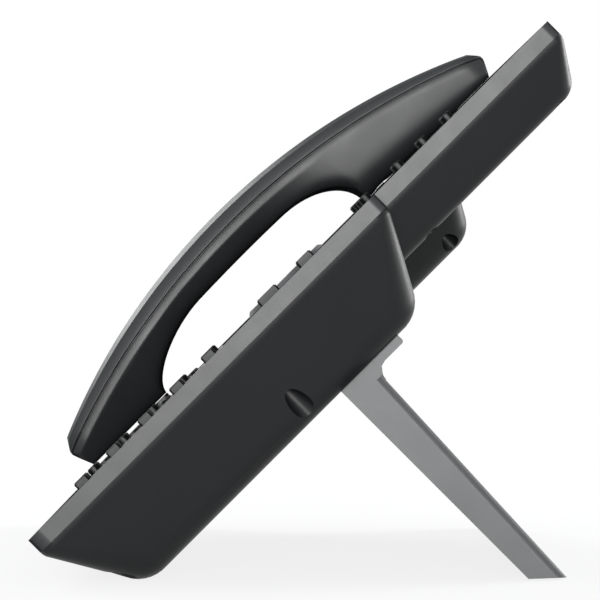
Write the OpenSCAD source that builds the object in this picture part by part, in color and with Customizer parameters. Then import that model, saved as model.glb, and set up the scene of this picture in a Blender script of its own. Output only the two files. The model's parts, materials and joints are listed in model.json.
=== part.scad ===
// Desk IP phone: tilted body on a clip-on stand, arched handset on the left,
// raised keys, colour display.  All sizes in millimetres.
//
// Everything but the desk contacts is drawn in the face frame: x runs across
// the phone, y runs up the face from its lower edge, z stands out of the face.
// on_face() tilts that frame and puts the model on the desk.

/* [Body] */
// Width of the body
body_w = 257; // [250:1:280]
// Length of the display section beyond the keypad section
display_len = 78.5; // [77:0.5:84]
// Tilt of the face above the desk, in degrees
tilt = 45; // [40:1:50]
// Length of the thick keypad section
keypad_len = 153.5; // [150:0.5:156]
// How far the display section stands in from the right side
display_inset = 14; // [8:1:15]
// Depth of the keypad section behind the face
keypad_depth = 37.1; // [36:0.1:42]
// Depth of the display section behind the face
display_depth = 21.8; // [20:0.1:24]
// Depth of the front case's side strip
bezel_depth = 5.2; // [4.8:0.1:6]
// Slope of the rear case's walls, in degrees from the face's normal
wall_slope = 25.5; // [24:0.5:30]
// Edge radius of the keypad section's base
base_round = 12; // [9:0.5:13]
// Edge radius of the display section's back
display_round = 8; // [5:0.5:9]
// Radius of the rear case's shoulder below the seam
shoulder_round = 5; // [3:0.5:6]
// Corner radius of the lower corners
corner_low = 5.6; // [4:0.2:8]
// Corner radius of the upper corners
corner_high = 3.4; // [2:0.2:5]
// Wall of the rear case
wall = 2.4; // [2:0.1:3]
// Thickness of the face plate
plate = 2.2; // [2:0.1:2.6]
// Open seam between the front and the rear case
seam = 0.3; // [0.2:0.05:0.5]
// How far the thick hump below the earpiece runs past the keypad section
hump_past = 42; // [40:0.5:50]
// Width of that hump at the face
hump_w = 73.5; // [70:0.5:78]

/* [Keys] */
// How far the function keys stand out of the face
key_proud = 2.4; // [1.6:0.1:2.8]
// How far the number keys stand out of the face
number_proud = 1.0; // [0.8:0.1:2]
// Travel of a key
key_travel = 0.9; // [0.5:0.1:1]
// Gap between a key and its opening
key_gap = 0.3; // [0.2:0.05:0.4]
// Distance between the rows of keys
row_pitch = 14.15; // [13:0.05:15]
// Height of the lowest row on the face
row_start = 24.1; // [20:0.1:26]
// Width of a function key
function_w = 13; // [11:0.5:14]
// Height of a function key
function_h = 5; // [4:0.1:7]
// Height of the lower side key, above the function keys
side_low_h = 8.2; // [5:0.5:9]
// Height of the upper side key
side_high_h = 6.1; // [4:0.2:7]
// Distance of the right function column from the body's side
column_in = 19.5; // [18.5:0.5:21.5]
// Distance between the two function columns
column_pitch = 68; // [65:0.5:69]
// Width of a number key
number_w = 15; // [12:0.5:17]
// Height of a number key
number_h = 8.6; // [7:0.2:10]
// Distance between the columns of number keys
number_pitch = 21; // [18:0.5:22]
// Width of a soft key below the display
soft_w = 15; // [12:0.5:18]
// Height of the soft keys and the line keys
soft_h = 3.8; // [3:0.1:4.2]
// Distance between the soft keys
soft_pitch = 26.4; // [24:0.2:27]
// Width of a line key beside the display
line_w = 13; // [11:0.5:14]
// Distance between the line keys
line_pitch = 11; // [8:0.5:12]
// Distance of the number keys' middle from the inner function column
number_in = 53; // [50:0.5:56]
// Diameter of the navigation ring
nav_d = 35.6; // [32:0.2:37]
// How far the navigation ring stands out of the face
nav_proud = 1.5; // [1:0.1:2]
// Distance of the navigation ring from the inner function column
nav_in = 9; // [5:1:13]
// Distance of the navigation ring above the top row of keys
nav_up = 34.9; // [34:0.1:38]

/* [Display] */
// Width of the display window
window_w = 118; // [100:1:120]
// Height of the display window
window_h = 60; // [50:1:61]
// Room for the line keys between the window and the body's side
window_in = 25.5; // [24:0.5:28]
// Distance of the window's middle from the keypad section's end
window_up = 37.8; // [36:0.1:40]
// Thickness of the display window
lens_t = 1.5; // [1:0.1:1.8]

/* [Handset] */
// Width of the handset
handset_w = 44; // [40:1:46]
// Distance of the handset's middle from the body's side
handset_in = 24; // [22.5:0.5:25.5]
// Lower end of the handset on the face
handset_low = 11.3; // [10:0.1:13]
// Upper end of the handset on the face
handset_high = 232; // [228:0.1:234]
// Height of the handset's back over the face
arch_top = 37.6; // [35:0.1:40]
// Place of the highest point of the handset's back up the face
arch_y = 115.4; // [113:0.2:118]
// Radius of the handset's arched back
arch_r = 265; // [250:1:280]
// Height of the underside of the grip over the face
grip_under = 19.3; // [18:0.1:21]
// Height of the mouth end's underside over the face
mouth_under = 2.2; // [1.8:0.1:3]
// Height of the ear end's underside over the face
ear_under = 0.5; // [0.3:0.1:1]
// Height of the seam between the handset's shells at the middle
handset_seam = 30.8; // [29:0.1:32]
// Wall of the handset's shells
handset_wall = 2.2; // [1.8:0.1:2.4]
// Travel of the hook switch lever
hook_travel = 4; // [3:0.5:4]

/* [Stand] */
// Width of the stand
stand_w = 212; // [200:1:220]
// Front face of the stand's leg on the base
stand_y = 102.4; // [100:0.2:103]
// Depth of the leg at its top
leg_top = 12.5; // [11:0.5:14]
// Depth of the leg at the desk
leg_foot = 8.5; // [7:0.5:10]
// Length of the stand's head plate along the base
head_len = 25.6; // [22:0.2:27]
// Thickness of the stand's head plate
head_t = 2.5; // [2:0.1:3]
// Fillet between the head plate and the leg
head_fillet = 5; // [3:0.5:6]
// Edge radius along the leg's rear edges
leg_round = 2.8; // [2:0.1:3]
// Wall of the stand
stand_wall = 2.6; // [2:0.1:3.2]
// How far the stand slides to unhook
stand_slide = 8; // [6:0.5:9]
// Width of a stand hook
hook_w = 12; // [10:1:16]

/* [Feet and fasteners] */
// How far the rubber feet stand out
foot_proud = 0.5; // [0.3:0.1:1]
// Thickness of the rubber feet
foot_t = 1.6; // [1.4:0.1:2]
// Length of a rubber foot
foot_len = 30; // [16:1:40]
// Distance of a rubber foot's centre from the middle
foot_x = 70; // [50:1:80]
// Diameter of the large screw wells
well_d = 6.9; // [6.5:0.1:7.2]
// Diameter of the display section's screw wells
small_well_d = 5.4; // [5.2:0.1:6]
// Diameter of the case screws
screw_d = 2.6; // [2.4:0.1:2.8]
// Diameter of the case screws' heads
screw_head_d = 4.8; // [4.4:0.1:5]

/* [Hidden] */
$fn = 48;
thin = 0.01;
touch = 0.3;                    // standing gap between pieces that move
half_w = body_w / 2;
face_len = keypad_len + display_len;
hump_len = keypad_len + hump_past;
display_right = half_w - display_inset;
column_right = half_w - column_in;
column_inner = column_right - column_pitch;
number_x = column_inner - number_in;
function row_y(row) = row_start + row * row_pitch;
side_low_y = row_y(4) + 26.9;
side_high_y = side_low_y + 16.4;
nav_x = column_inner + nav_in;
nav_y = row_y(4) + nav_up;
window_x = display_right - window_in - window_w / 2;
window_y = keypad_len + window_up;
handset_x = handset_in - half_w;
hump_right = hump_w - half_w;
shell_top = bezel_depth + seam; // depth of the rear case's upper rim

// The base edge: its round touches the sloped wall and the base.
function edge_in(depth, round_r) =
    (round_r + (depth - round_r - shell_top) * sin(wall_slope))
    / cos(wall_slope);
low_edge_y = edge_in(keypad_depth, base_round);
low_edge_z = base_round - keypad_depth;
high_edge_y = face_len - edge_in(display_depth, display_round);
high_edge_z = display_round - display_depth;

// Desk placement: the base edge clears the desk by the rubber feet.
edge_z = foot_proud + base_round
    - (low_edge_y * sin(tilt) + low_edge_z * cos(tilt));
reach_back = high_edge_y * cos(tilt) - high_edge_z * sin(tilt)
    + display_round;
nose_y = handset_low + 3.3;
reach_front = nose_y * cos(tilt) - arch_height(nose_y) * sin(tilt);
edge_y = -(reach_back + reach_front) / 2;

module on_face() {
    translate([0, edge_y, edge_z]) rotate([tilt, 0, 0]) children();
}

// ---- plain shapes ----

// Rectangle whose corner radii go round from the lower left
module corner_rect(x0, x1, y0, y1, radii) {
    corners = [[x0, y0, 1, 1], [x1, y0, -1, 1],
        [x1, y1, -1, -1], [x0, y1, 1, -1]];
    difference() {
        translate([x0, y0]) square([x1 - x0, y1 - y0]);
        for (i = [0:3]) if (radii[i] > 0)
            translate([corners[i][0], corners[i][1]])
                square(radii[i] * 2, center = true);
    }
    for (i = [0:3]) if (radii[i] > 0)
        translate([corners[i][0] + corners[i][2] * radii[i],
            corners[i][1] + corners[i][3] * radii[i]])
            circle(r = radii[i]);
}

// Rounded rectangle about the origin
module round_rect(w, h, r) {
    corner_rect(-w / 2, w / 2, -h / 2, h / 2, [r, r, r, r]);
}

// Block from depth z0 up to z1
module slab(z0, z1) {
    translate([0, 0, z0]) linear_extrude(height = z1 - z0) children();
}

module box_at(x0, x1, y0, y1, z0, z1) {
    translate([x0, y0, z0]) cube([x1 - x0, y1 - y0, z1 - z0]);
}

// ---- the case ----

lip_gap = 0.2;                  // lip of the rear case inside the front one
lip_t = 1.1;
lip_top = 3.4;
lip_root = 1.8;
lip_corner = 12;

// Plan of the face, taken in by inset on every side
module face_plan(inset) {
    low = max(corner_low - inset, 0.4);
    high = max(corner_high - inset, 0.4);
    corner_rect(-half_w + inset, half_w - inset, inset,
        keypad_len - inset, [low, low, high, 0]);
    corner_rect(-half_w + inset, display_right - inset,
        keypad_len / 2, face_len - inset, [0, 0, high, high]);
}

// Convex block with sloped walls, a round shoulder and round base edges.
// Sides are x0, x1, y0, y1 at the seam; skin takes the block in.
module tub(x0, x1, y0, y1, depth, round_r, corner_r, skin) {
    r = round_r - skin;
    in_edge = edge_in(depth, round_r);
    facets = skin > 0 ? 16 : 36;
    steps = skin > 0 ? 1 : 3;
    inner_r = max(corner_r - skin, 0.5);
    hull() {
        if (skin > 0) slab(-shell_top, -shell_top + 0.5)
            corner_rect(x0 + skin, x1 - skin, y0 + skin, y1 - skin,
                inner_r * [1, 1, 1, 1], $fn = facets);
        for (a = [0:wall_slope / steps:wall_slope]) {
            step = shoulder_round * (1 - cos(a)) + skin;
            down = shoulder_round * sin(a);
            cr = max(corner_r - step, 0.5);
            translate([0, 0, -shell_top - down - thin])
                linear_extrude(height = thin)
                corner_rect(x0 + step, x1 - step, y0 + step, y1 - step,
                    [cr, cr, cr, cr], $fn = facets);
        }
        for (x = [x0 + in_edge, x1 - in_edge])
            for (y = [y0 + in_edge, y1 - in_edge])
                translate([x, y, round_r - depth])
                    sphere(r = r, $fn = facets);
    }
}

// The three blocks of the rear case; skin gives its inner faces
module case_form(skin) {
    tub(-half_w, half_w, 0, keypad_len, keypad_depth, base_round,
        corner_low, skin);
    tub(-half_w, hump_right, keypad_len - 70, hump_len, keypad_depth,
        base_round, corner_low, skin);
    tub(-half_w, display_right, keypad_len - 40, face_len,
        display_depth, display_round, corner_high, skin);
}

// Screw wells: x, y, diameter and depth of the head's seat
well_in = edge_in(keypad_depth, base_round) - 10.4;
side_well_y = 90.5;
wells = [
    [half_w - well_in, side_well_y, well_d],
    [-half_w + well_in, side_well_y, well_d],
    [half_w - well_in - 6, well_in - 0.9, well_d],
    [-half_w + well_in + 6, well_in - 0.9, well_d],
    [hump_right - well_in - 3, hump_len - 24, well_d],
    [display_right - 12.4, keypad_len + 5.5, small_well_d],
    [display_right - 12.4, face_len - 14.5, small_well_d],
    [-half_w + 14, face_len - 14.5, small_well_d]];
seat_depth = 14;
seat_t = 2;
post_gap = 0.1;
boss_wall = 1.8;

board_top = 20;                 // depth of the main board's face side
board_t = 1.6;
chip_w = 15;
jack_len = keypad_depth - board_top - board_t;
jack_y = 70;
network_x = [20, 38];
network_w = 13.6;
network_h = 16;
cord_x = [-42, -26];
cord_jack_w = 11.2;
cord_jack_h = 12.4;
power_x = 62;
power_w = 7;
power_h = 12;
board_w = 156;
board_h = 80;
board_at = [number_x + 30, jack_y - 6];
board_posts = [for (i = [-1, 1]) for (j = [-1, 1])
    [board_at[0] - 1 + i * (board_w / 2 - 7),
    board_at[1] + j * (board_h / 2 - 6)]];

module jack_cutouts(gap) {
    for (x = network_x) translate([x, jack_y])
        square([network_w + 2 * gap, network_h + 2 * gap], center = true);
    for (x = cord_x) translate([x, jack_y])
        square([cord_jack_w + 2 * gap, cord_jack_h + 2 * gap],
            center = true);
    translate([power_x, jack_y])
        square([power_w + 2 * gap, power_h + 2 * gap], center = true);
}

// Where the stand's hooks pass the base: T-shaped slots
hook_slot_gap = 0.4;
stand_hook_x = [-stand_w / 2 + 22, -26, 26, stand_w / 2 - 22];
hook_neck = 3;
hook_top = 1.6;                 // thickness of a hook's tongue
hook_y = stand_y + 11;

module case_bosses() {
    for (s = wells) translate([s[0], s[1], -keypad_depth])
        cylinder(d = s[2] + 2 * boss_wall,
            h = keypad_depth - seat_depth + seat_t);
    for (p = board_posts) translate([p[0], p[1], -keypad_depth])
        cylinder(d = 6, h = jack_len, $fn = 24);
    foot_pads();
}

// Rims that locate the rear case inside the front one, clear of corners
lip_corners = [[-half_w, 0], [half_w, 0], [half_w, keypad_len],
    [display_right, keypad_len], [display_right, face_len],
    [-half_w, face_len]];

module lip_plan(inset) {
    difference() {
        face_plan(inset);
        face_plan(plate + lip_gap + lip_t);
        for (c = lip_corners) translate(c)
            square(2 * lip_corner, center = true);
    }
}

module case_lip() {
    slab(-shell_top - lip_root, -shell_top - 0.5) lip_plan(wall / 2);
    slab(-shell_top - 1, -lip_top) lip_plan(plate + lip_gap);
}

module rear_case() {
    color([0.12, 0.125, 0.13]) on_face() difference() {
        union() {
            difference() {
                case_form(0);
                case_form(wall);
            }
            intersection() {
                case_bosses();
                case_form(wall / 2);
            }
            case_lip();
        }
        for (s = wells) translate([s[0], s[1], -keypad_depth - 1]) {
            cylinder(d = s[2], h = keypad_depth + 1 - seat_depth);
            cylinder(d = screw_d + 0.6, h = keypad_depth);
        }
        slab(-keypad_depth - 1, -keypad_depth + wall + 1)
            jack_cutouts(touch);
        for (x = stand_hook_x) {
            box_at(x - hook_w / 2 - hook_slot_gap,
                x + hook_w / 2 + hook_slot_gap,
                hook_y - stand_slide - hook_slot_gap,
                hook_y + hook_neck + hook_slot_gap,
                -keypad_depth - 1, -keypad_depth + wall + 1);
        }
        foot_room(0.15);
    }
}

// Solid backing and pocket for the rubber feet, drawn on the desk
module desk_strip(x, len, y, w, z0, z1) {
    translate([x, y, z0]) linear_extrude(height = z1 - z0)
        round_rect(len, w, w / 2 - thin);
}
foot_line = edge_y + low_edge_y * cos(tilt) - low_edge_z * sin(tilt);
foot_w = 7;

module off_face() {
    rotate([-tilt, 0, 0]) translate([0, -edge_y, -edge_z]) children();
}

module foot_pads() {
    off_face() for (side = [-1, 1])
        desk_strip(side * foot_x, foot_len + 6, foot_line, foot_w + 6,
            foot_proud, foot_t + 2.6);
}

module foot_room(gap) {
    off_face() for (side = [-1, 1])
        desk_strip(side * foot_x, foot_len + 2 * gap, foot_line,
            foot_w + 2 * gap, -1, foot_t + gap / 3);
}

module front_feet() {
    color([0.05, 0.05, 0.05]) for (side = [-1, 1])
        desk_strip(side * foot_x, foot_len, foot_line, foot_w, 0, foot_t);
}

// ---- key layout: every key is x, y, width, height, corner radius ----

soft_y = keypad_len - 1.5;
line_low_y = window_y - 25.3;
flange = 0.9;                   // key flange beyond the opening
line_key_x = display_right - plate - lip_gap - lip_t - touch - flange
    - line_w / 2;
number_r = 2.4;                 // corner radii of the keys
function_r = 0.8;

module each_key_hole() {
    for (row = [0:3]) for (col = [-1:1])
        key_hole(number_x + col * number_pitch, row_y(row), number_w,
            number_h, number_r);
    for (row = [0:4]) {
        key_hole(column_right, row_y(row), function_w, function_h,
            function_r);
        key_hole(column_inner, row_y(row), function_w, pill_h,
            pill_h / 2);
    }
    key_hole(column_right, side_low_y, function_w, side_low_h,
        function_r);
    key_hole(column_right, side_high_y, function_w, side_high_h,
        function_r);
    for (i = [0:3]) key_hole(soft_x(i), soft_y, soft_w, soft_h, soft_h / 2);
    for (i = [0:2]) key_hole(line_key_x, line_low_y + i * line_pitch,
        line_w, soft_h, soft_h / 2);
}

pill_h = function_h - 0.6;      // height of a key with round ends
function soft_x(i) = window_x + (i - 1.5) * soft_pitch + 20.6;

// What each key takes out of the face plate, or leaves for its stem
module key_hole(x, y, w, h, r) {
    translate([x, y]) round_rect(w + 2 * key_gap, h + 2 * key_gap,
        min(r + key_gap, h / 2 + key_gap - thin));
}

flange_t = 0.7;
mat_top = plate + post_gap + flange_t + key_travel + 0.7;
mat_t = 1;
key_board_t = 1.6;
stem_d = 3;
key_board_low = [number_x - 38, row_start - 8.1];
key_board_high = [column_right + 9, side_high_y + 14.4];

// One key: cap, flange under the face plate and a stem to its contact
module key(x, y, w, h, r, proud, shade) {
    crown = 0.35;
    rr = min(r, h / 2 - thin);
    color(shade) on_face() translate([x, y, 0]) {
        slab(-plate - post_gap, proud - crown) round_rect(w, h, rr);
        slab(proud - crown, proud)
            round_rect(w - 2 * crown, h - 2 * crown,
                max(rr - crown, 0.3));
        slab(-plate - post_gap - flange_t, -plate - post_gap)
            round_rect(w + 2 * flange, h + 2 * flange, rr);
        translate([0, 0, -mat_top]) cylinder(d = stem_d,
            h = mat_top - plate - post_gap);
    }
}

key_shade = [0.1, 0.1, 0.105];
module number_key(col, row) {
    key(number_x + col * number_pitch, row_y(row), number_w, number_h,
        number_r, number_proud, key_shade);
}
module right_function_key(row) {
    key(column_right, row_y(row), function_w, function_h, function_r,
        key_proud, key_shade);
}
module inner_function_key(row) {
    key(column_inner, row_y(row), function_w, pill_h, pill_h / 2,
        key_proud, key_shade);
}
module soft_key(i) {
    key(soft_x(i), soft_y, soft_w, soft_h, soft_h / 2, key_proud,
        key_shade);
}
module line_key(i) {
    key(line_key_x, line_low_y + i * line_pitch, line_w, soft_h,
        soft_h / 2, key_proud, key_shade);
}

// ---- front case ----

speaker_d = 44;
speaker_at = [number_x - 26, nav_y - 1.8];
microphone_at = [column_right - 34, 9];
lamp_at = [display_right - 20, face_len - 5.4];
lamp_w = 22;
lamp_h = 2;
label_x = (column_right + column_inner) / 2;
label_y = row_y(2);
label_w = column_right - column_inner - function_w - 7;
label_h = 4 * row_pitch + 10;
label_t = 0.8;
fit = 0.2;                      // gap round a piece that is let in
window_ledge = 3;
ear_y = handset_high - 34.2;    // centre of the earpiece on the face
ear_rim_d = 30;
ear_rim = 1.3;
recess = 1.8;
hook_at = [handset_x, ear_y - 28];
hook_size = [10, 4.6];
rest_y = handset_low + 39.2;    // cradle rib below the mouth end
mat_posts = [[number_x - 34, 86], [column_inner - 11, 86],
    [column_right - 21, 92], [column_right - 23, 20]];

module speaker_slots() {
    grille_r = speaker_d / 2 - 3;
    slot = 1.6;
    for (i = [-5:5]) {
        y = i * 3.4;
        half = sqrt(grille_r * grille_r - y * y);
        translate([speaker_at[0], speaker_at[1] + y])
            round_rect(2 * half, slot, slot / 2 - thin);
    }
}

module front_case() {
    color([0.2, 0.205, 0.21]) on_face() difference() {
        union() {
            difference() {
                slab(-bezel_depth, 0) face_plan(0);
                slab(-bezel_depth - 1, -plate) face_plan(plate);
            }
            for (s = wells) translate([s[0], s[1], 0])
                slab(-(seat_depth - seat_t - post_gap), -1)
                    circle(d = 6);
            for (p = mat_posts) translate([p[0], p[1], 0])
                slab(-mat_top, -1) circle(d = 4);
            translate([handset_x, ear_y, 0])
                slab(-recess - plate, -1) circle(d = ear_rim_d + 8);
            translate([handset_x, rest_y, 0])
                slab(-1, mouth_under - fit) round_rect(26, 5, 1);
        }
        slab(-plate - 1, 1) each_key_hole();
        translate([nav_x, nav_y, 0]) slab(-plate - 1, 1)
            circle(d = nav_d + 0.9);
        translate([window_x, window_y, 0]) {
            slab(-lens_t, 1) round_rect(window_w, window_h, 2);
            slab(-plate - 1, 1) round_rect(window_w - 2 * window_ledge,
                window_h - 2 * window_ledge, 1);
        }
        translate([label_x, label_y, 0]) slab(-label_t - 0.1, 1)
            round_rect(label_w, label_h, 1.5);
        translate([lamp_at[0], lamp_at[1], 0]) slab(-plate - 1, 1)
            round_rect(lamp_w, lamp_h, lamp_h / 2 - thin);
        translate([handset_x, ear_y, 0]) slab(-recess, 1)
            circle(d = ear_rim_d + 2);
        translate([hook_at[0], hook_at[1], 0]) slab(-plate - 1, 1)
            round_rect(hook_size[0], hook_size[1], 1);
        slab(-plate - 1, 1) speaker_slots();
        translate([microphone_at[0], microphone_at[1], 0])
            slab(-plate - 1, 1) round_rect(4, 1.2, 0.55);
        for (s = wells) translate([s[0], s[1], 0])
            slab(-seat_depth, -recess - plate - 1) circle(d = screw_d);
    }
}

module display_window() {
    color([0.03, 0.035, 0.04]) on_face()
        translate([window_x, window_y, 0]) slab(-lens_t, 0)
            round_rect(window_w - 2 * fit, window_h - 2 * fit, 2 - fit);
}

module lcd_panel() {
    color([0.25, 0.3, 0.35]) on_face()
        translate([window_x, window_y, 0]) {
            slab(-plate - 3, -plate - post_gap)
                round_rect(window_w - 4, window_h - 4, 0.5);
            slab(-plate - 5, -plate - 3)
                round_rect(window_w - 12, window_h - 12, 0.5);
        }
}

module message_lamp() {
    color([0.7, 0.2, 0.15]) on_face()
        translate([lamp_at[0], lamp_at[1], 0]) slab(-plate - 2, 0.1)
            round_rect(lamp_w - 2 * fit, lamp_h - 2 * fit,
                lamp_h / 2 - fit - thin);
}

module label_cover() {
    color([0.5, 0.52, 0.54]) on_face()
        translate([label_x, label_y, 0]) slab(-label_t, 0)
            round_rect(label_w - 2 * fit, label_h - 2 * fit, 1.3);
}

// Outline that the key mat and the key board share
module board_plan() {
    difference() {
        translate(key_board_low) square(key_board_high - key_board_low);
        for (s = wells) translate([s[0], s[1]]) circle(d = 7.4);
        translate(speaker_at) circle(d = speaker_d + 3);
    }
}

module each_stem(d) {
    for (row = [0:3]) for (col = [-1:1])
        translate([number_x + col * number_pitch, row_y(row)])
            circle(d = d);
    for (row = [0:4]) for (x = [column_right, column_inner])
        translate([x, row_y(row)]) circle(d = d);
    for (y = [side_low_y, side_high_y]) translate([column_right, y])
        circle(d = d);
}

module key_mat() {
    color([0.5, 0.5, 0.48]) on_face()
        slab(-mat_top - mat_t, -mat_top) difference() {
            board_plan();
            each_stem(stem_d + 0.8);
            translate([nav_x, nav_y]) circle(d = nav_d + 6);
        }
}

module key_board() {
    color([0.1, 0.35, 0.2]) on_face()
        slab(-mat_top - mat_t - key_board_t, -mat_top - mat_t)
            board_plan();
}

module main_board() {
    color([0.1, 0.35, 0.2]) on_face() {
        slab(-board_top - board_t, -board_top)
            translate(board_at) square([board_w, board_h], center = true);
        translate([board_at[0] + 34, board_at[1] + 32, -board_top])
            slab(0, 1.6) square(chip_w, center = true);
        translate([board_at[0] - 34, board_at[1] + 30, -board_top])
            slab(0, 1.2) square([chip_w * 2 / 3, chip_w], center = true);
    }
}

module loudspeaker() {
    color([0.15, 0.15, 0.16]) on_face()
        translate([speaker_at[0], speaker_at[1], 0]) {
            slab(-plate - 4, -plate - post_gap) circle(d = speaker_d);
            translate([0, 0, -plate - 10])
                cylinder(d1 = 24, d2 = speaker_d - 4, h = 6);
            slab(-plate - 15, -plate - 10) circle(d = 22);
        }
}

module hands_free_microphone() {
    color([0.6, 0.6, 0.6]) on_face()
        translate([microphone_at[0], microphone_at[1], 0])
            slab(-plate - 2.7, -plate - post_gap) circle(d = 6);
}

// Socket body with its opening in the case's base
module socket(x, w, h, open_w, open_h, deep) {
    translate([x, jack_y, 0]) difference() {
        slab(-keypad_depth + fit, -keypad_depth + jack_len)
            square([w, h], center = true);
        slab(-keypad_depth - 1, -keypad_depth + deep)
            square([open_w, open_h], center = true);
    }
}

module network_jacks() {
    color([0.08, 0.08, 0.08]) on_face() for (x = network_x)
        socket(x, network_w, network_h, 8.6, 12, 12.5);
}

module handset_jacks() {
    color([0.08, 0.08, 0.08]) on_face() for (x = cord_x)
        socket(x, cord_jack_w, cord_jack_h, 6, 8, 11);
}

module power_jack() {
    color([0.4, 0.4, 0.42]) on_face()
        socket(power_x, power_w, power_h, 3.2, 9, 7);
}

module hook_lever() {
    color([0.1, 0.1, 0.105]) on_face()
        translate([hook_at[0], hook_at[1], 0]) {
            slab(-11, ear_under - fit)
                round_rect(hook_size[0] - 2 * key_gap,
                    hook_size[1] - 2 * key_gap, 0.8);
            slab(-plate - hook_travel - 1.4, -plate - hook_travel - post_gap)
                round_rect(hook_size[0] + 3, hook_size[1] + 2, 1);
        }
}

// ---- navigation ----

nav_r = nav_d / 2;
select_r = 8.6;
nav_bottom = plate + 1.7;
nav_room = 1.1;                 // lets the ring's flange tilt both ways
pivot_r = 2.6;

module nav_ring() {
    color([0.22, 0.22, 0.225]) on_face() translate([nav_x, nav_y, 0])
        rotate_extrude() polygon([[select_r + 0.9, -nav_bottom],
            [nav_r + 1.4, -nav_bottom], [nav_r + 1.4, -plate - nav_room],
            [nav_r, -plate - nav_room], [nav_r, 0], [nav_r - 1.6, nav_proud],
            [select_r + 1.6, nav_proud], [select_r + 0.9, 1]]);
}

module nav_pivot() {
    color([0.4, 0.4, 0.4]) on_face() translate([nav_x, nav_y, 0])
        slab(-nav_bottom - 1, -nav_bottom - 0.15) difference() {
            union() {
                circle(r = select_r);
                square([nav_r + 8.2, 2 * pivot_r - 1.6], center = true);
            }
            circle(r = pivot_r);
        }
}

module select_key() {
    color(key_shade) on_face() translate([nav_x, nav_y, 0]) {
        slab(-plate - 0.4, 0.9) circle(r = select_r);
        slab(0.9, 1.2) circle(r = select_r - 0.4);
        translate([0, 0, -mat_top]) cylinder(d = stem_d, h = mat_top - 1);
    }
}

// ---- handset ----

seam_y = arch_y + 1.6;
seam_r = 296;
nose = 3.3;
tail = 3.7;
mouth_end = 53;                 // where the grip's arch springs
mouth_run = 27;
ear_end = 162;
ear_run = 28;
grip_arch_r = 900;

function lerp(a, b, t) = a + (b - a) * t;
function arch_height(y) = arch_top - arch_r
    + sqrt(arch_r * arch_r - (y - arch_y) * (y - arch_y));
function seam_height(y) = handset_seam - seam_r
    + sqrt(seam_r * seam_r - (y - seam_y) * (y - seam_y));
function grip_height(y) = grip_under
    - (y - arch_y) * (y - arch_y) / 2 / grip_arch_r;
function swell(t, n) = pow(1 - pow(1 - t, n), 1 / n);

// Height of the handset's back and of its underside at y
function over(y) =
    y < handset_low + nose ? lerp(seam_height(handset_low) + 0.6,
        arch_height(handset_low + nose), (y - handset_low) / nose)
    : y > handset_high - tail ? lerp(seam_height(handset_high) + 0.6,
        arch_height(handset_high - tail), (handset_high - y) / tail)
    : arch_height(y);
function under(y) =
    y < handset_low + nose ? lerp(seam_height(handset_low) - 0.6,
        mouth_under, (y - handset_low) / nose)
    : y <= mouth_end ? mouth_under
    : y < mouth_end + mouth_run ? lerp(mouth_under, grip_height(y),
        swell((y - mouth_end) / mouth_run, 2))
    : y <= ear_end - ear_run ? grip_height(y)
    : y < ear_end ? lerp(ear_under, grip_height(y),
        swell((ear_end - y) / ear_run, 1.6))
    : y <= handset_high - tail ? ear_under
    : lerp(seam_height(handset_high) - 0.6, ear_under,
        (handset_high - y) / tail);

// Half width: rounded ends in plan and a slight waist at the grip
end_round = 9;
waist = 2.2;
function end_in(d) = d >= end_round ? 0
    : end_round - sqrt(end_round * end_round
        - (end_round - d) * (end_round - d));
function half_width(y) = handset_w / 2
    - 0.7 * end_in(y - handset_low) - 0.7 * end_in(handset_high - y)
    - waist * (y < mouth_end || y > ear_end ? 0
        : (1 - cos(360 * (y - mouth_end) / (ear_end - mouth_end))) / 2);
function low_round(y) = y < mouth_end - 6 || y > ear_end + 8 ? 3
    : y < mouth_end ? lerp(3, 7, (y - mouth_end + 6) / 6)
    : y > ear_end ? lerp(7, 3, (y - ear_end) / 8) : 7;

step = 15;
stations = concat(
    [for (i = [0:3]) handset_low + nose * i / 3],
    [for (i = [1:4]) lerp(handset_low + nose, mouth_end - 6, i / 4)],
    [for (i = [1:2]) mouth_end - 6 + 2 * i],
    [for (a = [0:step:90]) mouth_end + mouth_run * (1 - cos(a))],
    [for (i = [1:5]) lerp(mouth_end + mouth_run, ear_end - ear_run,
        i / 6)],
    [for (a = [90:-step:0]) ear_end - ear_run * (1 - cos(a))],
    [for (i = [1:2]) ear_end + 4 * i],
    [for (i = [1:6]) lerp(ear_end + 8, handset_high - tail, i / 6)],
    [for (i = [1:3]) handset_high - tail + tail * i / 3]);

// Corner of a cross-section: a quarter arc, or a point where r is 0
function corner(x, z, r, start, n) = r == 0 ? [[x, z]]
    : [for (i = [0:n]) [x + r * cos(start + 90 * i / n),
        z + r * sin(start + 90 * i / n)]];
function outline(half, low, high, low_r, top_r, n) = concat(
    corner(low_r - half, low + low_r, low_r, 180, n),
    corner(half - low_r, low + low_r, low_r, 270, n),
    corner(half - top_r, high - top_r, top_r, 0, n),
    corner(top_r - half, high - top_r, top_r, 90, n));

back_round = 7;
handset_gap = 0.3;
function back_points(y) = let(low = seam_height(y) + handset_gap / 2,
    r = min(back_round, over(y) - low - 0.1))
    outline(half_width(y), low, over(y), 0, r, 6);
function front_points(y) = let(high = seam_height(y) - handset_gap / 2,
    r = min(low_round(y), high - under(y) - 0.1))
    outline(half_width(y), under(y), high, r, 0, 6);
function inner_points(y) = let(t = handset_wall,
    high = min(over(y - t), over(y), over(y + t)) - t,
    low = max(under(y - t), under(y), under(y + t)) + t,
    half = min(half_width(y - t), half_width(y), half_width(y + t)) - t)
    outline(half, low, high, min(low_round(y) - t + 0.5, 4), 4, 3);

slice = 0.1;                    // thickness of a drawn cross-section

// Loft through cross-sections, each a hull with the next
module loft(places, sections) {
    for (i = [0:len(places) - 2]) hull() for (j = [i:i + 1])
        translate([handset_x, places[j], 0]) rotate([90, 0, 0])
            linear_extrude(height = slice) polygon(sections[j]);
}

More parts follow.
